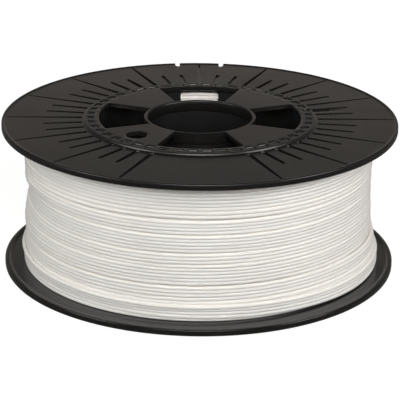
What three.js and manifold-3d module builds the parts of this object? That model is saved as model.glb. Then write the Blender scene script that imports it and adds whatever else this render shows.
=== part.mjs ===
// A filament spool lying on its lower flange, wound with 1.75 mm printer filament.
// Millimetres, +Z up along the spool's axis, origin at the centre of the face it lies on.
// Two like flange mouldings close the ends of a drum and a hub tube, and the filament fills
// the space between them. The upper flange's plain label sector faces -Y.
import * as THREE from "three";
import { mergeVertices } from "three/addons/utils/BufferGeometryUtils.js";
import Module from "manifold-3d";

const wasm = await Module();
wasm.setup();

// ---- driving dimensions ----
const FLANGE_R = 100; // outer radius of both flanges
const RIM_TO_RIM = 75; // between the two outer rim planes
const BOSS_RISE = 1.1; // the middle of a flange stands this far proud of its rim plane
const BOSS_R = 58.6;
const PLATE = 2.2; // thickness of the flange plate
const RIM_DEPTH = 2.8; // how far the bead around the rim reaches inwards
const RIM_WIDTH = 2.5;
const RIM_LIP = 0.4; // and how far it stands proud of the rim plane
const RIM_BEVEL = 0.5;
const BORE_R = 26.5;
const COLLAR_WALL = 2;
const COLLAR_DEPTH = 5.5; // length of the collar, from the boss face inwards
const DRUM_R = 56.5; // the filament is wound on this radius
const DRUM_WALL = 2.6;
const FILAMENT_R = 0.875; // 1.75 mm filament
const WOUND_R = 88; // mean outer radius of the wound filament
const FIT = 0.3; // gap between pieces that touch

// ---- the flange's pattern, as angles in degrees and radii ----
const PITCH = 7.5; // one groove or one slot every 7.5 degrees
const GROOVE_START_R = 59.4;
const LONG_GROOVE_R = 98;
const SHORT_GROOVE_R = 79.4;
const GROOVE_DEPTH = 0.9;
const GROOVE_INNER_HALF = 1.35; // half width where a groove starts
const GROOVE_NARROWING = 0.0222; // half width lost for each mm outwards
const LABEL_AT = 270; // middle of the plain sector
const LABEL_HALF = 20;
const TAB_RECESS = 0.5; // how far a drum tab ends below the boss face
const TAB_HALF_ANGLE = 2.1;
const SLOT_HALF_ANGLE = 2.5;
const WINDOW_OUTER_R = 51.1;
const WINDOW_INNER_R = 28.2;
const WINDOW_HALF_AT_AXIS = 3; // half width of a window, carried back to the spool's axis
const WINDOW_FLARE = 0.3825; // growth of that half width for each mm outwards
const DRIVE_HOLE = { angle: 225, r: 44, holeR: 5.2 };
const RIM_NOTCH = { angles: [83, 97], halfWidth: 1.3, depth: 4.5 };
const START_SLOT = { angle: 12.5, from: 55.8, to: 69.6, halfWidth: 0.95 }; // opens into a slot
const DRUM_HOLE = { below: 2.65, height: 9, halfWidth: 10.4, topCorner: 1.5, lowCorner: 6.5 };
const QUARTERS = [0, 90, 180, 270];
const TURNED_STEPS = 72; // flat faces around a large turned surface

// ---- places worked out from them ----
const upperRimZ = BOSS_RISE + RIM_TO_RIM;
const lowerRimZ = BOSS_RISE;
const middleZ = (upperRimZ + lowerRimZ) / 2;
const bossUnderside = BOSS_RISE - PLATE;
const drumInnerR = DRUM_R - DRUM_WALL;
const radians = THREE.MathUtils.degToRad;

// ---- helpers ----
// A closed three.js geometry as a manifold solid.
function solid(geometry) {
  const bare = geometry.clone();
  bare.deleteAttribute("normal");
  bare.deleteAttribute("uv");
  const merged = mergeVertices(bare, 1e-4);
  return new wasm.Manifold(
    new wasm.Mesh({
      numProp: 3,
      vertProperties: new Float32Array(merged.attributes.position.array),
      triVerts: new Uint32Array(merged.index.array),
    }),
  );
}

function geometryOf(body) {
  const mesh = body.getMesh();
  const geometry = new THREE.BufferGeometry();
  geometry.setAttribute("position", new THREE.BufferAttribute(mesh.vertProperties, 3));
  geometry.setIndex(new THREE.BufferAttribute(mesh.triVerts, 1));
  const flat = geometry.toNonIndexed();
  flat.computeVertexNormals();
  return flat;
}

function cut(body, cutters) {
  return cutters.reduce((rest, cutter) => rest.subtract(cutter), body);
}

function join(body, pieces) {
  return pieces.reduce((whole, piece) => whole.add(piece), body);
}

// A ring turned about Z from a closed profile of [radius, z] corners.
function turned(profile, steps = TURNED_STEPS) {
  const points = [...profile, profile[0]].map(([r, z]) => new THREE.Vector2(r, z));
  return new THREE.LatheGeometry(points, steps).rotateX(Math.PI / 2);
}

// A flat outline extruded from z = low to z = high, then turned to an angle about Z.
function slab(shape, low, high, angle = 0, curveSegments = 6) {
  const geometry = new THREE.ExtrudeGeometry(shape, {
    depth: high - low,
    bevelEnabled: false,
    curveSegments,
  });
  return geometry.translate(0, 0, low).rotateZ(radians(angle));
}

function outline(points) {
  return new THREE.Shape(points.map(([x, y]) => new THREE.Vector2(x, y)));
}

// A piece of a ring between two radii, straight across its short arcs.
function ringPiece(innerR, outerR, halfAngle) {
  const c = Math.cos(radians(halfAngle));
  const s = Math.sin(radians(halfAngle));
  return outline([
    [innerR * c, -innerR * s],
    [outerR * c, -outerR * s],
    [outerR * c, outerR * s],
    [innerR * c, innerR * s],
  ]);
}

// A radial slot with round ends.
function radialSlot(from, to, halfWidth) {
  const shape = new THREE.Shape();
  shape.absarc(to - halfWidth, 0, halfWidth, -Math.PI / 2, Math.PI / 2);
  shape.absarc(from + halfWidth, 0, halfWidth, Math.PI / 2, (3 * Math.PI) / 2);
  return shape;
}

const slotAngles = Array.from({ length: 360 / PITCH }, (_, i) => (i + 0.5) * PITCH);
const grooveAngles = slotAngles
  .map((angle) => angle - PITCH / 2)
  .filter((angle) => Math.abs(angle - LABEL_AT) > LABEL_HALF);

// ---- flange ----
// Its own frame: z = 0 is the rim plane and +z faces out of the spool.
function windowCutter(angle) {
  // The side lies where x^2 + (half + flare x)^2 = r^2.
  const corner = (r) => {
    const a = 1 + WINDOW_FLARE ** 2;
    const b = 2 * WINDOW_HALF_AT_AXIS * WINDOW_FLARE;
    const c = WINDOW_HALF_AT_AXIS ** 2 - r ** 2;
    const x = (-b + Math.sqrt(b * b - 4 * a * c)) / (2 * a);
    return Math.acos(x / r);
  };
  const outer = corner(WINDOW_OUTER_R);
  const inner = corner(WINDOW_INNER_R);
  const shape = new THREE.Shape();
  shape.absarc(0, 0, WINDOW_OUTER_R, -outer, outer);
  shape.absarc(0, 0, WINDOW_INNER_R, inner, -inner, true);
  return slab(shape, -RIM_DEPTH * 3, BOSS_RISE + 1, angle);
}

function grooveCutter(angle) {
  const isLong = (angle * 2) % 45 === 0;
  const end = isLong ? LONG_GROOVE_R : SHORT_GROOVE_R;
  const endHalf = GROOVE_INNER_HALF - GROOVE_NARROWING * (end - GROOVE_START_R);
  const shape = outline([
    [GROOVE_START_R, -GROOVE_INNER_HALF / 2],
    [GROOVE_START_R + 1, -GROOVE_INNER_HALF],
    [end - 1.2, -endHalf],
    [end, 0],
    [end - 1.2, endHalf],
    [GROOVE_START_R + 1, GROOVE_INNER_HALF],
    [GROOVE_START_R, GROOVE_INNER_HALF / 2],
  ]);
  return slab(shape, -GROOVE_DEPTH, 1, angle);
}

function notchCutter(angle) {
  const { halfWidth, depth } = RIM_NOTCH;
  const shape = radialSlot(FLANGE_R - depth, FLANGE_R + 5, halfWidth);
  return slab(shape, -RIM_DEPTH - 1, 1, angle, 3);
}

function flange() {
  const body = turned([
    [BORE_R, BOSS_RISE],
    [BORE_R, BOSS_RISE - COLLAR_DEPTH],
    [BORE_R + COLLAR_WALL, BOSS_RISE - COLLAR_DEPTH],
    [BORE_R + COLLAR_WALL, bossUnderside],
    [DRUM_R + FIT, bossUnderside],
    [DRUM_R + FIT, -PLATE],
    [FLANGE_R - RIM_WIDTH, -PLATE],
    [FLANGE_R - RIM_WIDTH, -RIM_DEPTH],
    [FLANGE_R - RIM_BEVEL, -RIM_DEPTH],
    [FLANGE_R, -RIM_DEPTH + RIM_BEVEL],
    [FLANGE_R, RIM_LIP - RIM_BEVEL],
    [FLANGE_R - RIM_BEVEL, RIM_LIP],
    [FLANGE_R - 2 * RIM_BEVEL, RIM_LIP],
    [FLANGE_R - 4 * RIM_BEVEL, 0],
    [BOSS_R + RIM_BEVEL, 0],
    [BOSS_R, BOSS_RISE],
  ]);
  const slot = ringPiece(drumInnerR - FIT, DRUM_R + FIT, SLOT_HALF_ANGLE);
  const slots = slotAngles.map((angle) => slab(slot, bossUnderside - 0.5, BOSS_RISE + 1, angle));
  const { from, to, halfWidth } = START_SLOT;
  const startShape = radialSlot(from, to, halfWidth);
  const start = slab(startShape, -RIM_DEPTH - 1, BOSS_RISE + 1, START_SLOT.angle, 3);
  const holeX = DRIVE_HOLE.r * Math.cos(radians(DRIVE_HOLE.angle));
  const holeY = DRIVE_HOLE.r * Math.sin(radians(DRIVE_HOLE.angle));
  const hole = new THREE.CylinderGeometry(DRIVE_HOLE.holeR, DRIVE_HOLE.holeR, 12, 24);
  hole.rotateX(Math.PI / 2).translate(holeX, holeY, 0);
  const cutters = [
    ...slots,
    ...QUARTERS.map(windowCutter),
    ...grooveAngles.map(grooveCutter),
    ...RIM_NOTCH.angles.map(notchCutter),
    start,
    hole,
  ];
  return geometryOf(cut(solid(body), cutters.map(solid)));
}

// ---- drum ----
// The tube that the filament is wound on, with tabs into the flanges' slots and a hole behind
// each window.
function drumHole(end, angle) {
  const { below, height, halfWidth, topCorner, lowCorner } = DRUM_HOLE;
  const top = RIM_TO_RIM / 2 - below;
  const bottom = top - height;
  const shape = new THREE.Shape();
  shape.absarc(halfWidth - topCorner, top - topCorner, topCorner, 0, Math.PI / 2);
  shape.absarc(-halfWidth + topCorner, top - topCorner, topCorner, Math.PI / 2, Math.PI);
  shape.absarc(-halfWidth + lowCorner, bottom + lowCorner, lowCorner, Math.PI, (3 * Math.PI) / 2);
  shape.absarc(halfWidth - lowCorner, bottom + lowCorner, lowCorner, (3 * Math.PI) / 2, 2 * Math.PI);
  const geometry = slab(shape, drumInnerR - 5, DRUM_R + 5, 0, 2);
  // Stood upright, the outline's y runs up the spool and its depth runs outwards.
  geometry.rotateX(Math.PI / 2).rotateZ(Math.PI);
  if (end < 0) geometry.rotateY(Math.PI);
  return geometry.rotateZ(radians(angle));
}

function drum() {
  const end = RIM_TO_RIM / 2 + bossUnderside - FIT;
  const tabEnd = RIM_TO_RIM / 2 + BOSS_RISE - TAB_RECESS;
  const body = turned([
    [DRUM_R, -end],
    [DRUM_R, end],
    [drumInnerR, end],
    [drumInnerR, -end],
  ]);
  const tab = ringPiece(drumInnerR + 0.1, DRUM_R - 0.1, TAB_HALF_ANGLE);
  const tabs = slotAngles.flatMap((angle) => [
    slab(tab, end - 1, tabEnd, angle),
    slab(tab, -tabEnd, -end + 1, angle),
  ]);
  const holes = QUARTERS.flatMap((angle) => [drumHole(1, angle), drumHole(-1, angle)]);
  const joined = join(solid(body), tabs.map(solid));
  return geometryOf(cut(joined, holes.map(solid)));
}

// ---- hub tube ----
// It runs between the flanges' collars, a little wider inside than they are.
function hubTube() {
  const end = RIM_TO_RIM / 2 + BOSS_RISE - COLLAR_DEPTH - FIT;
  const inner = BORE_R + FIT;
  const outer = inner + COLLAR_WALL;
  return turned([
    [outer, -end],
    [outer, end],
    [inner, end],
    [inner, -end],
  ]);
}

// ---- filament ----
// The wound filament as one ring, a little fuller at its foot and hollow above its middle, as
// the turns lie. Heights are from the spool's middle.
function winding() {
  const end = RIM_TO_RIM / 2 - PLATE - FIT;
  const inner = DRUM_R + FIT;
  return turned([
    [inner, -end],
    [WOUND_R + 2.5, -end],
    [WOUND_R + 2.5, -end + 5],
    [WOUND_R + 1, -end + 11],
    [WOUND_R, -5],
    [WOUND_R - 1, 6],
    [WOUND_R + 0.5, 14],
    [WOUND_R + 0.5, end],
    [inner, end],
  ]);
}

// The outer end of the filament, from the last turn down through a notch in the lower rim.
function filamentEnd() {
  const notchAngle = RIM_NOTCH.angles[1];
  const at = (angle, r, z) => {
    const a = radians(angle);
    return new THREE.Vector3(r * Math.cos(a), r * Math.sin(a), z);
  };
  const restR = WOUND_R + 2.5 + FIT + FILAMENT_R + 0.4;
  const notchR = FLANGE_R - RIM_NOTCH.depth + RIM_NOTCH.halfWidth;
  const route = new THREE.CatmullRomCurve3([
    at(notchAngle + 34, restR, 11),
    at(notchAngle + 20, restR, 9.6),
    at(notchAngle + 8, restR + 0.6, 8),
    at(notchAngle + 2, restR + 1.6, 6.6),
    at(notchAngle, notchR, 4.2),
    at(notchAngle, notchR + 0.2, 0.6),
  ]);
  const section = new THREE.Shape();
  section.absarc(0, 0, FILAMENT_R, 0, 2 * Math.PI);
  return new THREE.ExtrudeGeometry(section, {
    extrudePath: route,
    steps: 28,
    curveSegments: 4,
    bevelEnabled: false,
  });
}

// ---- assembly ----
const blackPlastic = new THREE.MeshStandardMaterial({ color: 0x2b2a29, roughness: 0.45, metalness: 0 });
const drumPlastic = new THREE.MeshStandardMaterial({ color: 0x1c1b1b, roughness: 0.5, metalness: 0 });
const filamentPlastic = new THREE.MeshStandardMaterial({ color: 0xe9e4da, roughness: 0.35, metalness: 0 });

function mesh(name, geometry, material, z = 0) {
  const piece = new THREE.Mesh(geometry, material);
  piece.name = name;
  piece.position.z = z;
  return piece;
}

const spool = new THREE.Group();

spool.add(mesh("upper_flange", flange(), blackPlastic, upperRimZ));

// The lower flange is the same moulding turned over about Y, so its notches stay at the back.
const lowerFlange = mesh("lower_flange", flange(), blackPlastic, lowerRimZ);
lowerFlange.rotation.y = Math.PI;
spool.add(lowerFlange);

spool.add(mesh("drum", drum(), drumPlastic, middleZ));
spool.add(mesh("hub_tube", hubTube(), drumPlastic, middleZ));
spool.add(mesh("filament_winding", winding(), filamentPlastic, middleZ));
spool.add(mesh("filament_end", filamentEnd(), filamentPlastic));

export default spool;
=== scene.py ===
"""A filament spool lying on its lower flange, wound with warm white 1.75 mm filament.

Sizes are written in millimetres and turned into metres when a mesh is made. +Z is the spool's
axis, z = 0 the face it lies on, and angles are in degrees from +X towards +Y. The plain label
sector of the upper flange faces -Y.
"""

import math

import bpy
import numpy as np
from mathutils import Matrix, Vector


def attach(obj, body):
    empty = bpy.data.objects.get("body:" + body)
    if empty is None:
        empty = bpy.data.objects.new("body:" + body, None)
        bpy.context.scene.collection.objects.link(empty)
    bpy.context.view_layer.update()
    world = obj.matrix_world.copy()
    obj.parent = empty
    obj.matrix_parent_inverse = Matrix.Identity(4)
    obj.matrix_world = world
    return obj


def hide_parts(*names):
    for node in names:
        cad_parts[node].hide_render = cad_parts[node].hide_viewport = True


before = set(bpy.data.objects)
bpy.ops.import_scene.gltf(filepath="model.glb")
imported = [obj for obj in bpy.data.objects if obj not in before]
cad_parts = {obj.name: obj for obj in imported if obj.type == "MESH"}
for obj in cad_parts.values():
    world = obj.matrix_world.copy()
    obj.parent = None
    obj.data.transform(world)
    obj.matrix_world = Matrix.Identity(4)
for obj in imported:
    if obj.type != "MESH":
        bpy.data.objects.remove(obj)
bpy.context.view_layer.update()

# ---- sizes, in millimetres, as in the part's source ----
FLANGE_R = 100.0
RIM_TO_RIM = 75.0
BOSS_RISE = 1.1
BOSS_R = 58.6
PLATE = 2.2
BORE_R = 26.5
COLLAR_WALL = 2.0
COLLAR_DEPTH = 5.5
DRUM_R = 56.5
DRUM_WALL = 2.6
FILAMENT_D = 1.75
FIT = 0.3
PITCH = 7.5
GROOVE_START_R = 59.4
LONG_GROOVE_R = 98.0
SHORT_GROOVE_R = 79.4
GROOVE_DEPTH = 0.9
GROOVE_HALF = 1.35  # at its start
GROOVE_NARROWING = 0.0222  # of that half width for each millimetre further out
LABEL_AT = 270.0
LABEL_HALF = 20.0
TAB_RECESS = 0.5
WINDOW_OUTER_R = 51.1
WINDOW_INNER_R = 28.2
WINDOW_HALF_AT_AXIS = 3.0
WINDOW_FLARE = 0.3825
DRIVE_HOLE_ANGLE = 225.0
DRIVE_HOLE_AT = 44.0
DRIVE_HOLE_R = 5.2
NOTCH_ANGLES = (83.0, 97.0)
NOTCH_HALF = 1.3
NOTCH_DEPTH = 4.5
START_SLOT_ANGLE = 12.5
SLOT_INNER_R = 53.6
SLOT_OUTER_R = 56.8
START_SLOT_TO = 69.6
START_SLOT_HALF = 0.95

LOWER_RIM_Z = BOSS_RISE
UPPER_RIM_Z = BOSS_RISE + RIM_TO_RIM
MIDDLE_Z = (LOWER_RIM_Z + UPPER_RIM_Z) / 2
COLUMNS = 15  # columns of a flange's grid in one 7.5 degree period
PERIODS = 48
EDGE_BREAK = 0.2  # how far the edge of a hole is broken
WINDING_STEP = 2.0  # degrees between the sections of a wound strand


# ---- camera ----
def make_camera():
    """The camera stands 0.919 m from the spool's middle, 20 degrees above its middle plane."""
    data = bpy.data.cameras.new("camera")
    data.sensor_width = 36
    data.lens = 161.07
    camera = bpy.data.objects.new("camera", data)
    bpy.context.scene.collection.objects.link(camera)
    middle = Vector((0, 0, MIDDLE_Z / 1000))
    azimuth = math.radians(269.6)
    elevation = math.radians(20.018)
    away = Vector(
        (
            math.cos(azimuth) * math.cos(elevation),
            math.sin(azimuth) * math.cos(elevation),
            math.sin(elevation),
        )
    )
    turn = (-away).to_track_quat("-Z", "Y").to_matrix().to_4x4()
    tilt = Matrix.Rotation(-0.0068, 4, "X") @ Matrix.Rotation(-0.0005, 4, "Y")
    roll = Matrix.Rotation(0.0098, 4, "Z")
    camera.matrix_world = Matrix.Translation(middle + away * 0.91885) @ turn @ tilt @ roll
    bpy.context.scene.camera = camera


make_camera()


# ---- mesh helpers ----
def add_piece(name, points, quads, sharp_angle, attributes=None):
    """A smooth-shaded object from points in millimetres and rows of four corner numbers.

    Corners that no face uses are dropped. attributes are named numbers, one for each point.
    """
    used, corners = np.unique(quads, return_inverse=True)
    points = points[used] / 1000
    mesh = bpy.data.meshes.new(name)
    mesh.vertices.add(len(points))
    mesh.vertices.foreach_set("co", points.astype(np.float32).ravel())
    mesh.loops.add(quads.size)
    mesh.loops.foreach_set("vertex_index", corners.astype(np.int32).ravel())
    mesh.polygons.add(len(quads))
    mesh.polygons.foreach_set("loop_start", np.arange(0, quads.size, 4, dtype=np.int32))
    mesh.update(calc_edges=True)
    mesh.validate()
    mesh.polygons.foreach_set("use_smooth", np.ones(len(mesh.polygons), bool))
    mesh.set_sharp_from_angle(angle=math.radians(sharp_angle))
    for key, values in (attributes or {}).items():
        layer = mesh.attributes.new(key, "FLOAT", "POINT")
        layer.data.foreach_set("value", values[used].astype(np.float32))
    piece = bpy.data.objects.new(name, mesh)
    bpy.context.scene.collection.objects.link(piece)
    return piece


def polar(radius, degrees, z):
    """Points at a radius, an angle about the axis and a height, as an array ending in x, y, z."""
    angle = np.radians(degrees)
    parts = np.broadcast_arrays(radius * np.cos(angle), radius * np.sin(angle), z)
    return np.stack(parts, axis=-1).astype(float)


def two_sheets(front, back, keep):
    """Quads of a wall between two grids of points that close up in their second direction.

    front and back are rows x columns x 3, numbered row by row, front first. keep says which
    cell between two rows and two columns is material. Each kept cell gives a front quad and a
    back quad, and each edge between a kept cell and an empty one gives a quad across the wall.
    The front faces where the rows' direction crossed with the columns' direction points.
    """
    rows, columns = front.shape[:2]
    number = np.arange(rows * columns).reshape(rows, columns)
    right = np.roll(number, -1, axis=1)
    behind = rows * columns
    cells = np.stack([number[:-1], number[1:], right[1:], right[:-1]], axis=-1)[keep]
    padded = np.vstack([np.zeros((1, columns), bool), keep, np.zeros((1, columns), bool)])
    below, above = padded[:-1], padded[1:]
    across = np.stack([number, right, right + behind, number + behind], axis=-1)
    start = across[above & ~below]
    end = across[below & ~above][:, ::-1]
    before = np.roll(keep, 1, axis=1)
    upright = np.stack(
        [number[:-1], number[1:], number[1:] + behind, number[:-1] + behind], axis=-1
    )
    left_side = upright[keep & ~before][:, ::-1]
    right_side = upright[before & ~keep]
    quads = np.vstack([cells, cells[:, ::-1] + behind, start, end, left_side, right_side])
    points = np.vstack([front.reshape(-1, 3), back.reshape(-1, 3)])
    return points, quads


def border_of(keep):
    """1 at each grid point that has both a kept and an empty cell around it, and 0 elsewhere."""
    rows = keep.shape[0]
    solid = np.vstack([keep[:1], keep, keep[-1:]])
    around = [
        solid[: rows + 1],
        solid[1:],
        np.roll(solid[: rows + 1], 1, axis=1),
        np.roll(solid[1:], 1, axis=1),
    ]
    total = sum(a.astype(int) for a in around)
    return ((total > 0) & (total < 4)).astype(float)


def turned_ring(profile, columns, centre_z=0.0):
    """A closed profile of [radius, z] corners carried once around the axis.

    The profile runs anticlockwise as seen with the radius to the right and z up.
    """
    profile = np.array(profile, float)
    degrees = np.arange(columns) * 360 / columns
    points = polar(profile[:, :1], degrees[None, :], profile[:, 1:] + centre_z)
    count = len(profile)
    number = np.arange(count * columns).reshape(count, columns)
    down = np.roll(number, -1, axis=0)
    right = np.roll(number, -1, axis=1)
    corner = np.roll(down, -1, axis=1)
    quads = np.stack([number, right, corner, down], axis=-1).reshape(-1, 4)
    return points.reshape(-1, 3), quads


def end_caps(rings):
    """Quads that close the first and the last of a tube's rings of corner numbers.

    Each quad joins the corners i and i + 1 of one half of a ring to those facing them.
    """
    half = rings.shape[1] // 2
    near = np.arange(half - 1)
    corners = np.stack([-near, near + 1, near + 2, -near - 1], axis=1)
    return np.vstack([rings[0][corners][:, ::-1], rings[-1][corners]])


def tube_along(path, radius, sides):
    """A pressed strand along a path given as columns angle in degrees, radius and height.

    At each path point the section is an oval in the plane of the axis: the centre plus radius
    times (cosine outwards, sine times the widening upwards), kept clear of the flanges. Both
    ends are closed by small flat caps.
    """
    around = np.arange(sides) * 2 * np.pi / sides
    size = np.full(len(path) + 2, float(radius))
    size[0] = size[-1] = 0.6 * radius
    rows = np.concatenate([path[:1], path, path[-1:]])
    out = rows[:, 1:2] + size[:, None] * np.cos(around)
    up = rows[:, 2:3] + STRAND_WIDENING * size[:, None] * np.sin(around)
    low = LOWER_RIM_Z + PLATE + CLEARANCE
    up = np.clip(up, low, UPPER_RIM_Z - PLATE - CLEARANCE)
    points = polar(out, rows[:, :1], up)
    number = np.arange(len(rows) * sides).reshape(len(rows), sides)
    right = np.roll(number, -1, axis=1)
    quads = np.stack([number[:-1], right[:-1], right[1:], number[1:]], axis=-1).reshape(-1, 4)
    return points.reshape(-1, 3), np.vstack([quads, end_caps(number)])


# ---- flange ----
# Its own frame: z = 0 is the rim plane and +z faces out of the spool.
# Each row is a radius with the heights of the outer and the inner face there.
FLANGE_LINES = np.array(
    [
        [26.50, 0.55, -4.15],
        [26.58, 0.80, -4.32],
        [26.76, 1.00, -4.40],
        [27.05, 1.10, -4.40],
        [27.90, 1.10, -4.40],
        [28.20, 1.10, -4.40],
        [28.50, 1.10, -4.20],
        [28.62, 1.10, -1.25],
        [30.00, 1.10, -1.10],
        [32.50, 1.10, -1.10],
        [35.00, 1.10, -1.10],
        [37.00, 1.10, -1.10],
        [38.50, 1.10, -1.10],
        [38.80, 1.10, -1.10],
        [40.40, 1.10, -1.10],
        [42.20, 1.10, -1.10],
        [44.00, 1.10, -1.10],
        [45.80, 1.10, -1.10],
        [47.60, 1.10, -1.10],
        [49.20, 1.10, -1.10],
        [49.50, 1.10, -1.10],
        [50.80, 1.10, -1.10],
        [51.10, 1.10, -1.10],
        [51.40, 1.10, -1.10],
        [53.35, 1.10, -1.10],
        [53.60, 1.10, -1.10],
        [56.80, 1.10, -1.10],
        [57.05, 1.10, -2.20],
        [57.50, 1.10, -2.20],
        [58.10, 1.10, -2.20],
        [58.38, 1.05, -2.20],
        [58.58, 0.88, -2.20],
        [58.72, 0.50, -2.20],
        [58.82, 0.14, -2.20],
        [59.05, 0.00, -2.20],
        [59.40, 0.00, -2.20],
        [59.65, 0.00, -2.20],
        [60.00, 0.00, -2.20],
        [60.45, 0.00, -2.20],
        [61.00, 0.00, -2.20],
        [65.00, 0.00, -2.20],
        [68.65, 0.00, -2.20],
        [69.20, 0.00, -2.20],
        [69.60, 0.00, -2.20],
        [73.00, 0.00, -2.20],
        [76.50, 0.00, -2.20],
        [77.90, 0.00, -2.20],
        [78.50, 0.00, -2.20],
        [78.95, 0.00, -2.20],
        [79.22, 0.00, -2.20],
        [79.40, 0.00, -2.20],
        [84.00, 0.00, -2.20],
        [89.00, 0.00, -2.20],
        [93.00, 0.00, -2.20],
        [95.50, 0.00, -2.20],
        [95.95, 0.00, -2.20],
        [96.60, 0.00, -2.20],
        [97.20, 0.00, -2.32],
        [97.55, 0.00, -2.60],
        [97.82, 0.00, -2.76],
        [98.00, 0.01, -2.80],
        [98.35, 0.12, -2.80],
        [98.70, 0.32, -2.80],
        [99.00, 0.40, -2.80],
        [99.30, 0.40, -2.80],
        [99.56, 0.36, -2.76],
        [99.78, 0.23, -2.65],
        [99.92, 0.05, -2.50],
        [99.98, -0.13, -2.36],
        [100.0, -0.30, -2.22],
    ]
)


def line_at(radius):
    """The number of the flange's ring line at a radius."""
    return int(np.argmin(abs(FLANGE_LINES[:, 0] - radius)))


def flange_angles():
    """The angle in degrees of each grid point of a flange.

    A period is centred on a groove. Inside the windows' ring the columns are half a degree
    apart. In the ring of slots, the fourth column from a period's centre is a slot's edge.
    Outside it the columns up to the third lie across a groove, at the shares of its half width
    in GROOVE_SECTION, and the fourth is 0.25 mm outside it. The half width falls evenly with the
    radius, and to nothing at the round tips.
    """
    radius = FLANGE_LINES[:, :1]
    number = np.arange(PERIODS * COLUMNS)
    period = number // COLUMNS
    offset = number % COLUMNS - COLUMNS // 2
    step = abs(offset)
    side = np.sign(offset)
    degrees_per_mm = np.degrees(1 / radius)
    even = 0.5 * step + 0 * radius
    slot = np.array([0, 0.4, 0.8, 1.0, 1.25, 1.9, 2.7, 3.4])[step] + 0 * radius
    half = GROOVE_HALF - GROOVE_NARROWING * (radius - GROOVE_START_R).clip(0) + 0 * period
    half = np.maximum(half * groove_taper(period, radius), 0.1)
    share = GROOVE_SECTION[np.minimum(step, 3), 0]
    lip = half + 0.25
    near = np.where(step <= 3, half * share, lip)
    lip_angle = lip * degrees_per_mm
    outer = lip_angle + (3.42 - lip_angle) * (step - 4) / 3
    groove = np.where(step <= 4, near * degrees_per_mm, outer)
    spread = np.where(radius < 52, even, np.where(radius < 57.2, slot, groove))
    return period * PITCH + side * spread, period, offset


# Across a groove, for each column from its middle: share of its half width, share of its depth.
GROOVE_SECTION = np.array([[0.0, 1.0], [0.5, 1.0], [0.93, 0.95], [1.0, 0.0]])


def groove_end(period):
    """Radius where a period's groove ends: long every 22.5 degrees, none in the label sector."""
    angle = period * PITCH
    end = np.where((angle * 2) % 45 == 0, LONG_GROOVE_R, SHORT_GROOVE_R)
    return np.where(abs(angle - LABEL_AT) > LABEL_HALF, end, 0.0)


def groove_taper(period, radius):
    """Share of a groove's full width and depth: it is round at both of its ends."""
    end = groove_end(period)
    to_end = end - radius
    to_start = radius - GROOVE_START_R
    tip = np.sqrt(np.clip(1 - (1 - np.clip(to_end / 1.4, 0, 1.0)) ** 2, 0, 1))
    tip = np.where(to_end < -0.1, 1.0, tip)
    root = np.sqrt(np.clip(1 - (1 - np.clip(to_start, 0, 1.0)) ** 2, 0, 1))
    return tip * np.where(to_start < -0.1, 1.0, root)


def pull_columns(angle, centre, targets, rows, reach):
    """Moves the columns next to a centre column, row by row, to given angles in degrees.

    targets holds, for each moved row, angles for the columns from -n to n about the centre.
    Columns further out move by a share that falls evenly to 0 after reach more columns.
    """
    total = angle.shape[1]
    n = targets.shape[1] // 2
    for row, wanted in zip(rows, targets):
        columns = (centre + np.arange(-n, n + 1)) % total
        shift = (wanted - angle[row, columns] + 180) % 360 - 180
        angle[row, columns] += shift
        fade = 1 - np.arange(1, reach) / reach
        angle[row, (centre + n + np.arange(1, reach)) % total] += shift[-1] * fade
        angle[row, (centre - n - np.arange(1, reach)) % total] += shift[0] * fade


def window_half_angle(radius):
    """Half the angle of a window at a radius: its side runs where y = 3 + 0.3825 x."""
    a = 1 + WINDOW_FLARE**2
    b = 2 * WINDOW_HALF_AT_AXIS * WINDOW_FLARE
    c = WINDOW_HALF_AT_AXIS**2 - radius**2
    x = (-b + np.sqrt(b * b - 4 * a * c)) / (2 * a)
    return np.degrees(np.arccos(x / radius))


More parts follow.
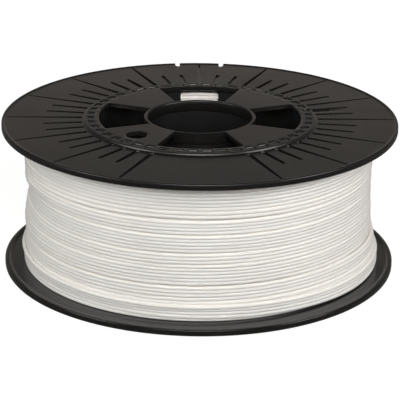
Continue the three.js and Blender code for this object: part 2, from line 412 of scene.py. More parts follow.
def flange_grid():
    """Angles and radii of a flange's grid points, its kept cells, and each column's period and
    its place in it.

    Lines and columns are pulled to the edges of each hole, and the cells inside are dropped.
    """
    radius = FLANGE_LINES[:, 0]
    angle, period, offset = flange_angles()
    total = PERIODS * COLUMNS
    middle = COLUMNS // 2
    rows = len(radius)
    reach = np.repeat(radius[:, None], total, axis=1)
    keep = np.ones((rows - 1, total), bool)

    # Four windows, 50 columns each way from their middles.
    window_rows = np.arange(line_at(27.05), line_at(51.4) + 1)
    for quarter in range(4):
        centre = quarter * total // 4 + middle
        for side in (-1, 1):
            half = window_half_angle(np.clip(radius[window_rows], WINDOW_INNER_R, WINDOW_OUTER_R))
            edge = quarter * 90 + side * half
            corner = side * np.degrees(0.3 / radius[window_rows])
            wanted = np.stack([edge - side * 0.5, edge, edge + corner], axis=1)
            if side < 0:
                wanted = wanted[:, ::-1]
            pull_columns(angle, centre + side * 50, wanted, window_rows, 8)
        cells = (centre + np.arange(-50, 50)) % total
        keep[line_at(WINDOW_INNER_R) : line_at(WINDOW_OUTER_R), cells] = False

    # The slots, between the fourth columns of neighbouring periods.
    in_slot = (offset >= 4) | (offset < -4)
    keep[line_at(SLOT_INNER_R) : line_at(SLOT_OUTER_R), in_slot] = False

    # The drive hole: a square block of cells pulled to a circle.
    centre = int(DRIVE_HOLE_ANGLE / PITCH) * COLUMNS + middle
    span = np.arange(-26, 27)
    columns = (centre + span) % total
    tangent = np.interp(abs(span), [0, 13, 14, 26], [0, 1, 1.06, 1.98]) * np.sign(span)
    upright = (radius[:, None] - DRIVE_HOLE_AT) / DRIVE_HOLE_R
    across = np.broadcast_to(tangent, (rows, len(span)))
    upright = np.broadcast_to(upright, across.shape)
    square = np.maximum(abs(across), abs(upright))
    round_share = np.clip((1.75 - square) / 0.65, 0, 1) ** 1.5
    scale = square / np.maximum(np.hypot(across, upright), 1e-9)
    round_x = DRIVE_HOLE_R * across * scale
    round_y = DRIVE_HOLE_AT + DRIVE_HOLE_R * upright * scale
    round_r = np.hypot(round_x, round_y)
    round_angle = DRIVE_HOLE_ANGLE + np.degrees(np.arctan2(round_x, round_y))
    angle[:, columns] += round_share * (round_angle - angle[:, columns])
    reach[:, columns] += round_share * (round_r - reach[:, columns])
    cells = (centre + np.arange(-13, 13)) % total
    keep[line_at(38.8) : line_at(49.2), cells] = False

    # The start slot, two columns either side of its middle.
    centre = (COLUMNS + middle + COLUMNS // 2 + 1) % total
    slot_rows = np.arange(line_at(SLOT_OUTER_R), line_at(START_SLOT_TO) + 1)
    along = START_SLOT_TO - radius[slot_rows]
    half = np.sqrt(np.clip(START_SLOT_HALF**2 - (START_SLOT_HALF - along).clip(0) ** 2, 0.12, 9))
    half = np.minimum(half, START_SLOT_HALF)
    steps = np.stack([-half - 0.3, -half, 0 * half, half, half + 0.3], axis=1)
    wanted = START_SLOT_ANGLE + np.degrees(steps / radius[slot_rows][:, None])
    pull_columns(angle, centre, wanted, slot_rows, 2)
    cells = (centre + np.arange(-1, 1)) % total
    keep[line_at(SLOT_OUTER_R) : line_at(START_SLOT_TO), cells] = False

    # The two notches in the rim, four columns wide, with round inner ends.
    notch_from = line_at(FLANGE_R - NOTCH_DEPTH)
    notch_rows = np.arange(notch_from, rows)
    for notch in NOTCH_ANGLES:
        centre = int(round(notch / 0.5)) + middle
        half = np.interp(radius[notch_rows], [95.5, 95.95, 96.6], [0.5, 1.0, NOTCH_HALF])
        steps = np.stack([-half - 0.3, -half, -half / 2, 0 * half, half / 2, half, half + 0.3], axis=1)
        wanted = notch + np.degrees(steps / radius[notch_rows][:, None])
        pull_columns(angle, centre, wanted, notch_rows, 5)
        cells = (centre + np.arange(-2, 2)) % total
        keep[notch_from:, cells] = False
    return angle, reach, keep, period, offset


def flange(name, upper):
    """A flange as two sheets over one grid of radii and angles, with its holes left out.

    The outer sheet's height is the line's own height, less the depth of a groove's section times
    its taper, less a small break along each hole. The lower flange is turned over.

    edge marks the paler edges of the boss, the bore and the holes: partly real wear, partly a painted
    highlight along these edges.
    polish marks the smoother skin of the inner face and of the grooves.
    """
    angle, reach, keep, period, offset = flange_grid()
    end = groove_end(period)
    radius = FLANGE_LINES[:, :1]
    inside = (radius > GROOVE_START_R - 0.1) & (radius < end + 0.1)
    step = abs(offset)
    section = GROOVE_SECTION[np.minimum(step, 3), 1]
    cut = GROOVE_DEPTH * section * groove_taper(period, radius) * inside
    border = border_of(keep)
    border[0] = 0
    border[-1] = 0
    outer_z = FLANGE_LINES[:, 1:2] - cut - EDGE_BREAK * border
    inner_z = FLANGE_LINES[:, 2:3] + EDGE_BREAK * border
    front = polar(reach, angle, outer_z)
    back = polar(reach, angle, inner_z)
    points, quads = two_sheets(front, back, keep)
    # Paler edge mask: partly real wear, partly a painted highlight on the boss step, the bore's edges
    # and the holes' edges.
    boss_edge = abs(radius - BOSS_R) < 0.23
    bore_edge = radius < BORE_R + 0.4
    outer_wear_and_glint = boss_edge + 0.3 * bore_edge + 0.3 * border
    inner_wear_and_glint = border + 0.5 * bore_edge
    edge = np.clip(np.concatenate([outer_wear_and_glint.ravel(), inner_wear_and_glint.ravel()]), 0, 1)
    if upper:
        points = points + [0, 0, UPPER_RIM_Z]
    else:
        points = points * [-1, 1, -1] + [0, 0, LOWER_RIM_Z]
    in_groove = (step <= 3) & inside
    polish = np.concatenate([0.6 * in_groove.ravel(), np.ones(border.size)])
    return add_piece(name, points, quads, 53, {"edge": edge, "polish": polish})


# ---- drum ----
def drum():
    """The tube that the filament is wound on: an inner and an outer sheet over one grid.

    A column in eight is a tab's edge. The last row at each end is kept only between those, so
    that tabs stand on the tube. Behind each window, at both ends, a hole is left out, whose half
    width is less by the rounding of its corners.
    """
    hole_half, round_low, round_top = 10.4, 6.5, 1.5
    offsets = np.array([-3.1, -2.45, -1.2, 0.0, 1.2, 2.45, 3.1, 3.75])
    period = np.repeat(np.arange(PERIODS), 8)
    base = np.tile(offsets, PERIODS) + PITCH * (period + 0.5)
    top = RIM_TO_RIM / 2 - 2.65
    bottom = top - 9
    tube_end = RIM_TO_RIM / 2 + BOSS_RISE - PLATE - FIT
    tab_end = RIM_TO_RIM / 2 + BOSS_RISE - TAB_RECESS
    hole = bottom + np.array([0, 0.5, 1.5, 3, 4.7, round_low])
    hole = np.append(hole, [top - round_top, top - 0.7, top - 0.2, top])
    half = np.append([0, 8, 16, 21, 24], hole)
    half = np.append(half, [tube_end - 0.25, tube_end, tab_end - 0.08, tab_end])
    lines = np.append(-half[:0:-1], half)
    columns = len(base)
    angle = np.repeat(base[None, :], len(lines), axis=0)
    height = abs(lines)
    below = (bottom + round_low - height).clip(0)
    above = (height - top + round_top).clip(0)
    low_side = hole_half - round_low + np.sqrt(np.clip(round_low**2 - below**2, 0, None))
    top_side = hole_half - round_top + np.sqrt(np.clip(round_top**2 - above**2, 0, None))
    half_width = np.minimum(low_side, top_side)
    strength = np.interp(height, [16, 21, bottom, top, tube_end - 0.3], [0, 0.5, 1, 1, 0])
    keep = np.ones((len(lines) - 1, columns), bool)
    mid_height = abs(lines[:-1] + lines[1:]) / 2
    in_hole = (mid_height > bottom) & (mid_height < top)
    for quarter in range(4):
        centre = quarter * columns // 4 - 1
        for side in (-1, 1):
            edge = centre + side * 12
            wanted = side * np.degrees(half_width / (DRUM_R - DRUM_WALL / 2))
            shift = strength * (wanted - side * 11.25)
            for step in range(-11, 12):
                share = 1 - abs(step) / 12
                angle[:, (edge + step) % columns] += shift * share
        cells = (centre + np.arange(-12, 12)) % columns
        keep[np.ix_(in_hole, cells)] = False
    offset = np.tile(offsets, PERIODS)
    in_tab = (offset >= -2.45) & (offset < 2.45)
    keep[np.ix_(mid_height > tube_end, ~in_tab)] = False
    wide = np.where(height > tube_end + 0.01, 0.25, 0.0)[:, None]
    broken = np.where(abs(height - tab_end) < 0.01, 0.08, 0.0)[:, None]
    z = lines[:, None] + 0 * angle + MIDDLE_Z
    outer = polar(DRUM_R + wide - broken + 0 * angle, angle, z)
    inner = polar(DRUM_R - DRUM_WALL - wide + broken + 0 * angle, angle, z)
    # The rows run upwards and the columns anticlockwise, so the inner sheet is the front.
    points, quads = two_sheets(inner, outer, keep)
    tab = np.repeat((height > tube_end + 0.01).astype(float), columns)
    return add_piece("drum_tube", points, quads, 33, {"tab": np.concatenate([tab, tab])})


# ---- hub tube ----
def hub():
    """The tube between the two collars, with rounded ends."""
    end = RIM_TO_RIM / 2 + BOSS_RISE - COLLAR_DEPTH - FIT
    inner = BORE_R + FIT
    outer = inner + COLLAR_WALL
    profile = [
        [inner, end - 0.4],
        [inner, -end + 0.4],
        [inner + 0.12, -end + 0.12],
        [inner + 0.4, -end],
        [outer - 0.4, -end],
        [outer - 0.12, -end + 0.12],
        [outer, -end + 0.4],
        [outer, end - 0.4],
        [outer - 0.12, end - 0.12],
        [outer - 0.4, end],
        [inner + 0.4, end],
        [inner + 0.12, end - 0.12],
    ]
    points, quads = turned_ring(profile, 240, MIDDLE_Z)
    return add_piece("hub_inner_tube", points, quads, 40)


# ---- wound filament ----
WALL_LOW = LOWER_RIM_Z + PLATE + FILAMENT_D / 2 + 0.05  # lowest height of a strand's middle
WALL_HIGH = UPPER_RIM_Z - PLATE - FILAMENT_D / 2 - 0.05  # and highest
STEPS = int(360 / WINDING_STEP)
CELL = 0.1  # height between the cells of the field that strands are laid on
FIELD_Z = np.arange(LOWER_RIM_Z + PLATE, UPPER_RIM_Z - PLATE, CELL)
LAID_D = 1.62  # distance at which two strands pressed against each other rest
LAYER_RISE = 1.36  # how much a layer lying in the valleys of the last one adds
PRESSED_R = 1.0  # half the depth of such a strand
STRAND_WIDENING = 1.2  # how much wider than deep it is
CLEARANCE = 0.05  # between a strand and a flange
TURNS = 38  # in a full layer
LAST_TURNS = 4  # in the short layer at the end
PULL = 1.2  # how hard a strand keeps to its guide
END_ANGLE = 131.0  # where each layer starts and the last one ends
INNER_LAYERS_R = 82.2  # outer radius of the layers that aren't laid one by one
# Wider gaps in the outermost full layer: height and extra width.
GAPS = {58.7: 0.85, 54.3: 0.8, 47.8: 0.8, 37.0: 0.55, 31.5: 0.55, 21.5: 0.65, 14.8: 0.8}
# Outer radius of the finished winding by height, on its left (185 degrees), on its right (355
# degrees) and in front.
OUTLINE_Z = [3, 11, 18, 21, 27, 43, 51, 74]
OUTLINE_LEFT = [90.5, 90.0, 89.0, 88.8, 89.4, 86.2, 88.8, 88.4]
OUTLINE_RIGHT = [92.0, 91.6, 89.5, 88.6, 88.1, 87.4, 87.5, 88.2]
OUTLINE_FRONT = [89.2, 88.7, 88.3, 88.2, 88.0, 88.0, 88.0, 88.0]

# The free end, from the last turn down through a notch in the lower rim, as in the part's
# source: angle, radius and height.
END_ROUTE = np.array(
    [
        [END_ANGLE, 92.075, 11.0],
        [117.0, 92.075, 9.6],
        [105.0, 92.675, 8.0],
        [99.0, 93.675, 6.6],
        [97.0, 96.8, 4.2],
        [97.0, 97.0, 0.6],
    ]
)


def outline_radius(degrees, z):
    """Outer radius of the winding: the front's, blended to a side's by the sixth power of the
    cosine of the angle from it."""
    left = np.clip(np.cos(np.radians(degrees - 185)), 0, 1) ** 6
    right = np.clip(np.cos(np.radians(degrees - 355)), 0, 1) ** 6
    front = np.interp(z, OUTLINE_Z, OUTLINE_FRONT)
    to_left = np.interp(z, OUTLINE_Z, OUTLINE_LEFT) - front
    to_right = np.interp(z, OUTLINE_Z, OUTLINE_RIGHT) - front
    return front + left * to_left + right * to_right


def smooth_along(values, width):
    """Values along a strand averaged under a bell curve, width steps wide."""
    reach = int(3 * width)
    bell = np.exp(-0.5 * (np.arange(-reach, reach + 1) / width) ** 2)
    padded = np.pad(values, reach, mode="edge")
    return np.convolve(padded, bell / bell.sum(), mode="valid")


def largest_near(values, reach):
    """The largest value within reach steps of each one."""
    padded = np.pad(values, reach, mode="edge")
    return np.max([padded[i : i + len(values)] for i in range(2 * reach + 1)], axis=0)


def lay_turn(field, guide, tail):
    """One turn of filament laid on the field of radii at which a strand's middle can rest.

    Around each angle the strand looks within 1 mm of its guide for the lowest place, where
    leaving the guide costs PULL times the distance squared. Its height is then averaged along
    the turn, as a stiff strand's is, and its radius is the field's there, taken over its high
    points, as a taut strand's is. The field then rises by the round shape of the strand.
    """
    rows = np.arange(STEPS)
    shifts = np.arange(-10, 11) * CELL
    spots = guide[:, None] + shifts
    spots = np.clip(spots, WALL_LOW, WALL_HIGH)
    cells = np.round((spots - FIELD_Z[0]) / CELL).astype(int)
    cost = field[rows[:, None], cells] + PULL * (spots - guide[:, None]) ** 2
    best = spots[rows, np.argmin(cost, axis=1)]
    joined = smooth_along(np.concatenate([tail[0], best]), 3.5)
    height = np.clip(joined[-STEPS:], WALL_LOW, WALL_HIGH)
    low = np.floor((height - FIELD_Z[0]) / CELL).astype(int)
    share = (height - FIELD_Z[0]) / CELL - low
    rest = field[rows, low] * (1 - share) + field[rows, low + 1] * share
    lifted = largest_near(np.concatenate([tail[1], rest]), 2)
    radius = smooth_along(lifted, 2.5)[-STEPS:]
    gap = abs(FIELD_Z[None, :] - height[:, None])
    top = radius[:, None] + np.sqrt(np.clip(LAID_D**2 - gap**2, 0, None))
    np.copyto(field, np.maximum(field, top), where=gap < LAID_D)
    return height, radius, best, rest


def wind():
    """The outer layers of the winding, laid twice.

    The first time shows how far the layers' outline is from the wanted one. The surface they
    start on is then moved by that, averaged under a bell curve around the spool and along it.
    """
    degrees = (END_ANGLE - WINDING_STEP * np.arange(STEPS)) % 360
    wanted = outline_radius(degrees[:, None], FIELD_Z[None, :]) - PRESSED_R
    extra = np.interp(FIELD_Z, [4, 9, 13], [LAYER_RISE, LAYER_RISE, 0.0])
    start = wanted - 3 * LAYER_RISE - extra
    reached = lay_layers(start.copy())[1]
    over = reached - wanted - LAID_D
    over = np.apply_along_axis(lambda row: smooth_along(row, 20), 1, over)
    wrapped = np.concatenate([over[-30:], over, over[:30]])
    over = np.apply_along_axis(lambda column: smooth_along(column, 4), 0, wrapped)[30:-30]
    return lay_layers(start - over)[0]


def lay_layers(field):
    """Lays the outer layers on a field of radii and returns their paths and the final field.

    The turns run clockwise from above. Each layer crosses the spool at about one strand's width
    a turn, the other way from the last, with a slow seeded wander and a few wider gaps. A last
    short layer climbs a few turns from the lower flange, where the free end leaves it.
    """
    rng = np.random.default_rng(7)
    layers = []
    tail = (np.full(12, WALL_LOW), np.full(12, field[0, 10]))
    for layer in range(5):
        rising = layer % 2 == 0
        last = layer == 4
        turns = LAST_TURNS if last else TURNS
        along = np.arange(turns * STEPS) / STEPS
        wave = sum(
            a * np.sin(2 * np.pi * along / length + rng.uniform(0, 6.28))
            for a, length in ((0.15, 9.0), (0.12, 4.3), (0.09, 2.3))
        )
        pitch = 1.8 if last else (WALL_HIGH - WALL_LOW) / (TURNS - 0.6)
        travel = np.minimum(along, turns - 0.6) * pitch
        guide = WALL_LOW + travel if rising else WALL_HIGH - travel
        if layer == 3:
            guide = guide - sum(gap * (guide < z) for z, gap in GAPS.items())
            fit = (WALL_HIGH - WALL_LOW) / (WALL_HIGH - guide[-1])
            guide = WALL_HIGH - (WALL_HIGH - guide) * fit
        guide = smooth_along(guide, 8) + wave * (0.5 if last else 1.0)
        heights, radii = [], []
        for turn in range(turns):
            wanted = guide[turn * STEPS : (turn + 1) * STEPS]
            height, radius, best, rest = lay_turn(field, wanted, tail)
            heights.append(height)
            radii.append(radius)
            tail = (best[-12:], rest[-12:])
        height = smooth_along(np.concatenate(heights), 1.5)
        radius = smooth_along(np.concatenate(radii), 1.5)
        degrees = END_ANGLE - WINDING_STEP * np.arange(len(height))
        path = np.stack([degrees, radius, height], axis=1)
        layers.append(path)
    for before, after in zip(layers, layers[1:]):
        # Each layer starts where the last one ended.
        share = np.linspace(1, 0, 10)[:, None]
        step = before[-1, 1:] - after[0, 1:]
        after[:10, 1:] += step * share
    blend = np.linspace(0, 1, 40)[:, None] ** 2
    layers[-1][-40:, 1:] += (END_ROUTE[0, 1:] - layers[-1][-40:, 1:]) * blend
    return layers, field


def catmull_rom(points, steps):
    """A smooth line through points: each span is the cubic whose slopes at its two ends are set
    by the neighbouring points."""
    first = 2 * points[0] - points[1]
    last = 2 * points[-1] - points[-2]
    p = np.vstack([first, points, last])
    t = np.linspace(0, 1, steps, endpoint=False)[:, None, None]
    a, b, c, d = p[:-3], p[1:-2], p[2:-1], p[3:]
    line = 0.5 * (
        2 * b + (c - a) * t + (2 * a - 5 * b + 4 * c - d) * t**2 + (3 * b - a - 3 * c + d) * t**3
    )
    return np.vstack([line.transpose(1, 0, 2).reshape(-1, 3), points[-1:]])


def free_end():
    """A round strand along the end route, whose section turns with the route's own direction."""
    line = catmull_rom(polar(END_ROUTE[:, 1], END_ROUTE[:, 0], END_ROUTE[:, 2]), 14)
    ahead = np.gradient(line, axis=0)
    ahead /= np.linalg.norm(ahead, axis=1, keepdims=True)
    out = line * [1, 1, 0]
    out /= np.linalg.norm(out, axis=1, keepdims=True)
    out[-28:] += np.linspace(0, 1, 28)[:, None] * np.array([1.0, 0, 0])
    up = np.cross(ahead, out)
    up /= np.linalg.norm(up, axis=1, keepdims=True)
    out = np.cross(up, ahead)
    sides = 14
    around = np.arange(sides) * 2 * np.pi / sides
    size = np.full(len(line) + 4, FILAMENT_D / 2)
    size[[0, -1]] = 0.5
    size[[1, -2]] = FILAMENT_D / 2 - 0.12
    rows = np.concatenate([[0, 0], np.arange(len(line)), [-1, -1]]).astype(int)
    across = np.cos(around)[None, :, None]
    upward = np.sin(around)[None, :, None]
    ring = across * out[rows, None] + upward * up[rows, None]
    points = line[rows, None] + ring * size[:, None, None]
    number = np.arange(len(rows) * sides).reshape(len(rows), sides)
    right = np.roll(number, -1, axis=1)
    quads = np.stack([number[:-1], right[:-1], right[1:], number[1:]], axis=-1).reshape(-1, 4)
    quads = np.vstack([quads, end_caps(number)])
    return add_piece("filament_free_end", points.reshape(-1, 3), quads, 40)


def inner_layers(outer):
    """The layers below the ones laid strand by strand, as one ring.

    Its inner face and its two ends carry the round backs of the strands: the outline steps by
    half circles one strand wide up the drum and one layer deep along each end.
    """
    half = np.linspace(0, 1, 7)[:-1]
    low = LOWER_RIM_Z + PLATE + FIT
    high = UPPER_RIM_Z - PLATE - FIT
    inner = DRUM_R + FIT
    bulge = 0.55 * np.sqrt(np.clip(1 - (2 * half - 1) ** 2, 0, 1))
    turns = int((high - low) / FILAMENT_D)
    rows = (np.arange(turns)[:, None] + half).ravel() / turns
    back = np.tile(bulge, turns)
    up_drum = np.stack([inner + 0.6 - back, high - (high - low) * rows], axis=1)
    layers = int((outer - inner) / LAYER_RISE)
    across = (np.arange(layers)[:, None] + half).ravel() / layers
    end_back = np.tile(bulge, layers)
    low_end = np.stack([inner + (outer - inner) * across, low + 0.6 - end_back], axis=1)
    high_end = np.stack([outer - (outer - inner) * across, high - 0.6 + end_back], axis=1)
    outside = np.array([[outer, low + 0.6], [outer, MIDDLE_Z], [outer, high - 0.6]])
    profile = np.vstack([up_drum[1:], low_end[1:], outside, high_end[1:]])
    points, quads = turned_ring(profile, 120)
    return add_piece("filament_inner_layers", points, quads, 80)


def winding():
    """All the pieces of the wound filament. The first laid layer is hidden, so it isn't drawn."""
    pieces = []
    for name, path in zip(("third", "second", "outer", "last"), wind()[1:]):
        points, quads = tube_along(path, PRESSED_R, 12)
        pieces.append(add_piece("filament_" + name + "_layer", points, quads, 80))
    pieces.append(inner_layers(INNER_LAYERS_R))
    return pieces


# ---- materials ----
def new_group(name, inputs, outputs):
    """An empty shader node group with float inputs (name, value) and typed outputs."""
    group = bpy.data.node_groups.new(name, "ShaderNodeTree")
    group.interface.new_socket("Vector", in_out="INPUT", socket_type="NodeSocketVector")
    for key, value in inputs:
        socket = group.interface.new_socket(key, in_out="INPUT", socket_type="NodeSocketFloat")
        socket.default_value = value
    for key, kind in outputs:
        group.interface.new_socket(key, in_out="OUTPUT", socket_type=kind)
    return group, group.nodes.new("NodeGroupInput"), group.nodes.new("NodeGroupOutput")


def add_node(tree, kind, **settings):
    """A node with its properties set, and its unlinked inputs from a dict called values."""
    node = tree.nodes.new(kind)
    values = settings.pop("values", {})
    for key, value in settings.items():
        setattr(node, key, value)
    for key, value in values.items():
        node.inputs[key].default_value = value
    return node


def moulded_grain():
    """The skin of a moulded part: fine grain, slow change of tone, and faint scuffs.

    Tone runs from 0 to 1 about 0.5, Gloss is a change of roughness, and Normal carries the grain.
    """
    group, given, result = new_group(
        "moulded_grain",
        [("Grain per metre", 1800.0), ("Grain depth", 0.3), ("Cloud per metre", 40.0)],
        [
            ("Tone", "NodeSocketFloat"),
            ("Gloss", "NodeSocketFloat"),
            ("Scuff", "NodeSocketFloat"),
            ("Normal", "NodeSocketVector"),
        ],
    )
    link = group.links.new
    grain = add_node(group, "ShaderNodeTexNoise", values={"Detail": 3.0, "Roughness": 0.6})
    link(given.outputs["Vector"], grain.inputs["Vector"])
    link(given.outputs["Grain per metre"], grain.inputs["Scale"])
    cloud = add_node(group, "ShaderNodeTexNoise", values={"Detail": 4.0, "Roughness": 0.55})
    link(given.outputs["Vector"], cloud.inputs["Vector"])
    link(given.outputs["Cloud per metre"], cloud.inputs["Scale"])
    bump = add_node(group, "ShaderNodeBump", values={"Distance": 0.00006})
    link(grain.outputs["Fac"], bump.inputs["Height"])
    link(given.outputs["Grain depth"], bump.inputs["Strength"])
    link(bump.outputs["Normal"], result.inputs["Normal"])
    link(cloud.outputs["Fac"], result.inputs["Tone"])
    gloss = add_node(group, "ShaderNodeMath", operation="MULTIPLY_ADD")
    gloss.inputs[1].default_value = 0.16
    gloss.inputs[2].default_value = -0.08
    link(cloud.outputs["Fac"], gloss.inputs[0])
    link(gloss.outputs[0], result.inputs["Gloss"])
    stretch = add_node(group, "ShaderNodeMapping")
    stretch.inputs["Scale"].default_value = (90, 700, 300)
    stretch.inputs["Rotation"].default_value = (0.3, 0.2, 0.7)
    link(given.outputs["Vector"], stretch.inputs["Vector"])
    scratch = add_node(group, "ShaderNodeTexNoise", values={"Scale": 1.0, "Detail": 2.0})
    link(stretch.outputs["Vector"], scratch.inputs["Vector"])
    pick = add_node(group, "ShaderNodeMapRange")
    pick.inputs["From Min"].default_value = 0.66
    pick.inputs["From Max"].default_value = 0.8
    link(scratch.outputs["Fac"], pick.inputs["Value"])
    link(pick.outputs["Result"], result.inputs["Scuff"])
    return group


def black_plastic(name, grain, dark, light, roughness, depth, specular):
    """Black plastic: two near blacks mixed by tone, paler along scuffs and along edges, where the
    paler edges are partly wear and partly a painted highlight.

    Where polish is 1 the roughness is 0.13 lower, and where tab is 1 there is a glossy coat.
    """
    material = bpy.data.materials.new(name)
    material.use_nodes = True
    tree = material.node_tree
    tree.nodes.clear()
    link = tree.links.new
    output = tree.nodes.new("ShaderNodeOutputMaterial")
    shader = add_node(tree, "ShaderNodeBsdfPrincipled", values={"Specular IOR Level": specular})
    shader.inputs["Coat Roughness"].default_value = 0.3
    tab = add_node(tree, "ShaderNodeAttribute", attribute_name="tab")
    link(tab.outputs["Fac"], shader.inputs["Coat Weight"])
    link(shader.outputs["BSDF"], output.inputs["Surface"])
    place = tree.nodes.new("ShaderNodeTexCoord")
    skin = add_node(tree, "ShaderNodeGroup", node_tree=grain)
    skin.inputs["Grain depth"].default_value = depth
    link(place.outputs["Object"], skin.inputs["Vector"])
    tone = add_node(tree, "ShaderNodeMix", data_type="RGBA")
    tone.inputs["A"].default_value = (*dark, 1)
    tone.inputs["B"].default_value = (*light, 1)
    link(skin.outputs["Tone"], tone.inputs["Factor"])
    # Paler along the edge attribute: partly wear, partly a painted highlight on edges.
    edge = add_node(tree, "ShaderNodeAttribute", attribute_name="edge")
    wear_and_glint = add_node(tree, "ShaderNodeMath", operation="MULTIPLY")
    wear_and_glint.inputs[1].default_value = 0.35
    link(edge.outputs["Fac"], wear_and_glint.inputs[0])
    scuff_wear_and_glint = add_node(tree, "ShaderNodeMath", operation="MULTIPLY_ADD", use_clamp=True)
    scuff_wear_and_glint.inputs[1].default_value = 0.25
    link(skin.outputs["Scuff"], scuff_wear_and_glint.inputs[0])
    link(wear_and_glint.outputs[0], scuff_wear_and_glint.inputs[2])
    paler = add_node(tree, "ShaderNodeMix", data_type="RGBA")
    paler.inputs["B"].default_value = (light[0] * 2.6, light[1] * 2.6, light[2] * 2.6, 1)
    link(scuff_wear_and_glint.outputs[0], paler.inputs["Factor"])
    link(tone.outputs["Result"], paler.inputs["A"])
    link(paler.outputs["Result"], shader.inputs["Base Color"])
    polish = add_node(tree, "ShaderNodeAttribute", attribute_name="polish")
    smoother = add_node(tree, "ShaderNodeMath", operation="MULTIPLY_ADD")
    smoother.inputs[1].default_value = -0.13
    smoother.inputs[2].default_value = roughness
    link(polish.outputs["Fac"], smoother.inputs[0])
    rough = add_node(tree, "ShaderNodeMath", operation="ADD")
    link(skin.outputs["Gloss"], rough.inputs[0])
    link(smoother.outputs[0], rough.inputs[1])
    link(rough.outputs[0], shader.inputs["Roughness"])
    link(skin.outputs["Normal"], shader.inputs["Normal"])
    return material


def white_filament():
    """Warm white extruded filament: a soft gloss, slow change of tone and faint drawn lines."""
    material = bpy.data.materials.new("warm_white_filament")
    material.use_nodes = True
    tree = material.node_tree
    tree.nodes.clear()
    link = tree.links.new
    output = tree.nodes.new("ShaderNodeOutputMaterial")
    shader = add_node(
        tree,
        "ShaderNodeBsdfPrincipled",
        values={
            "Specular IOR Level": 0.4,
            "Subsurface Weight": 0.7,
            "Subsurface Radius": (1.0, 0.97, 0.93),
            "Subsurface Scale": 0.0013,
        },
    )
    link(shader.outputs["BSDF"], output.inputs["Surface"])
    place = tree.nodes.new("ShaderNodeTexCoord")
    stretch = add_node(tree, "ShaderNodeMapping")
    stretch.inputs["Scale"].default_value = (9, 9, 420)
    link(place.outputs["Object"], stretch.inputs["Vector"])
    cloud = add_node(tree, "ShaderNodeTexNoise", values={"Scale": 1.0, "Detail": 3.0})
    link(stretch.outputs["Vector"], cloud.inputs["Vector"])
    tone = add_node(tree, "ShaderNodeMix", data_type="RGBA")
    tone.inputs["A"].default_value = (0.90, 0.854, 0.793, 1)
    tone.inputs["B"].default_value = (0.94, 0.898, 0.848, 1)
    link(cloud.outputs["Fac"], tone.inputs["Factor"])
    link(tone.outputs["Result"], shader.inputs["Base Color"])
    rough = add_node(tree, "ShaderNodeMapRange")
    rough.inputs["To Min"].default_value = 0.32
    rough.inputs["To Max"].default_value = 0.46
    link(cloud.outputs["Fac"], rough.inputs["Value"])
    link(rough.outputs["Result"], shader.inputs["Roughness"])
    fine = add_node(tree, "ShaderNodeTexNoise", values={"Scale": 1500.0, "Detail": 2.0})
    link(place.outputs["Object"], fine.inputs["Vector"])
    bump = add_node(tree, "ShaderNodeBump", values={"Strength": 0.1, "Distance": 0.00004})
    link(fine.outputs["Fac"], bump.inputs["Height"])
    link(bump.outputs["Normal"], shader.inputs["Normal"])
    return material


def dress(piece, material, slot, *nodes):
    """Gives a piece its material and its body, and hides the CAD nodes that it stands for. slot is not
    used.
    """
    piece.data.materials.append(material)
    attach(piece, "root")
    if nodes:
        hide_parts(*nodes)


grain = moulded_grain()
flange_black = black_plastic(
    "satin_black_flange", grain, (0.0044, 0.0042, 0.0039), (0.0072, 0.0068, 0.0063), 0.30, 0.35, 0.5
)
# A paler copy of the black plastic for the drum: painted light, brightening the shaded inside seen
# through the windows.
drum_black_painted_fill = black_plastic(
    "dull_black_drum_painted_fill", grain, (0.008, 0.008, 0.0075), (0.013, 0.013, 0.0125), 0.6, 0.2, 0.1
)
# A darker copy of the black plastic for the hub tube: painted shade inside the bore.
hub_black_painted_shade = black_plastic(
    "dull_black_hub_painted_shade", grain, (0.003, 0.003, 0.003), (0.0055, 0.0055, 0.0055), 0.6, 0.2, 0.1
)
filament = white_filament()

dress(flange("upper_flange_moulding", True), flange_black, "flange_plastic", "upper_flange")
dress(flange("lower_flange_moulding", False), flange_black, "flange_plastic", "lower_flange")
dress(drum(), drum_black_painted_fill, "core_plastic", "drum")
dress(hub(), hub_black_painted_shade, "core_plastic", "hub_tube")
for piece in winding():
    dress(piece, filament, "filament", "filament_winding")
dress(free_end(), filament, "filament", "filament_end")


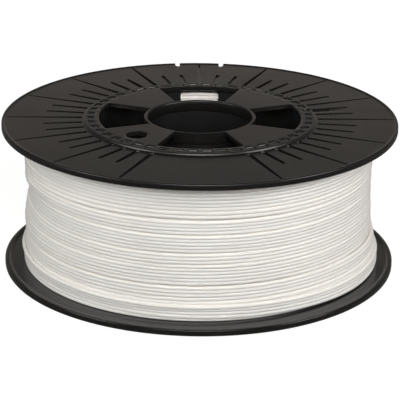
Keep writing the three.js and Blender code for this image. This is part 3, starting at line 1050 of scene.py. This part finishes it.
# ---- floor and light ----
def make_floor():
    """A plain pale floor, far wider than the camera sees."""
    mesh = bpy.data.meshes.new("floor")
    mesh.from_pydata([(-6, -6, 0), (6, -6, 0), (6, 6, 0), (-6, 6, 0)], [], [(0, 1, 2, 3)])
    floor = bpy.data.objects.new("floor", mesh)
    bpy.context.scene.collection.objects.link(floor)
    material = bpy.data.materials.new("pale_floor")
    material.use_nodes = True
    tree = material.node_tree
    shader = tree.nodes["Principled BSDF"]
    shader.inputs["Base Color"].default_value = (0.22, 0.217, 0.212, 1)
    shader.inputs["Roughness"].default_value = 0.9
    shader.inputs["Specular IOR Level"].default_value = 0.0
    shader.inputs["Emission Color"].default_value = (1, 1, 1, 1)
    path = tree.nodes.new("ShaderNodeLightPath")
    lift = add_node(tree, "ShaderNodeMath", operation="MULTIPLY")
    lift.inputs[1].default_value = 0.9
    tree.links.new(path.outputs["Is Camera Ray"], lift.inputs[0])
    tree.links.new(lift.outputs[0], shader.inputs["Emission Strength"])
    floor.data.materials.append(material)


def add_softbox(name, place, aim, size, power, colour=(1, 1, 1), spread=180):
    """A rectangular light at a place in metres, turned towards a point."""
    data = bpy.data.lights.new(name, "AREA")
    data.shape = "RECTANGLE"
    data.size, data.size_y = size
    data.energy = power
    data.color = colour
    data.spread = math.radians(spread)
    light = bpy.data.objects.new(name, data)
    bpy.context.scene.collection.objects.link(light)
    away = Vector(place) - Vector(aim)
    light.rotation_euler = away.to_track_quat("Z", "Y").to_euler()
    light.location = place


def make_world(strength):
    """Even dim light from all round."""
    world = bpy.data.worlds.new("studio")
    world.use_nodes = True
    world.node_tree.nodes["Background"].inputs["Color"].default_value = (1, 0.965, 0.915, 1)
    world.node_tree.nodes["Background"].inputs["Strength"].default_value = strength
    bpy.context.scene.world = world


make_floor()
make_world(0.12)
add_softbox("front_softbox", (0.0, -1.2, 0.70), (0, 0, 0.38), (1.5, 0.5), 3.55, spread=60)
add_softbox("left_softbox", (-1.2, -0.6, 0.6), (0, 0, 0.04), (0.7, 0.5), 7.0)
add_softbox("right_softbox", (1.2, -0.6, 0.6), (0, 0, 0.04), (0.7, 0.5), 9.6)
add_softbox("back_card", (0.0, 1.3, 0.30), (0, 0, 0.07), (2.4, 0.4), 0.82, (1, 0.87, 0.76))
bpy.context.scene.view_settings.view_transform = "Standard"
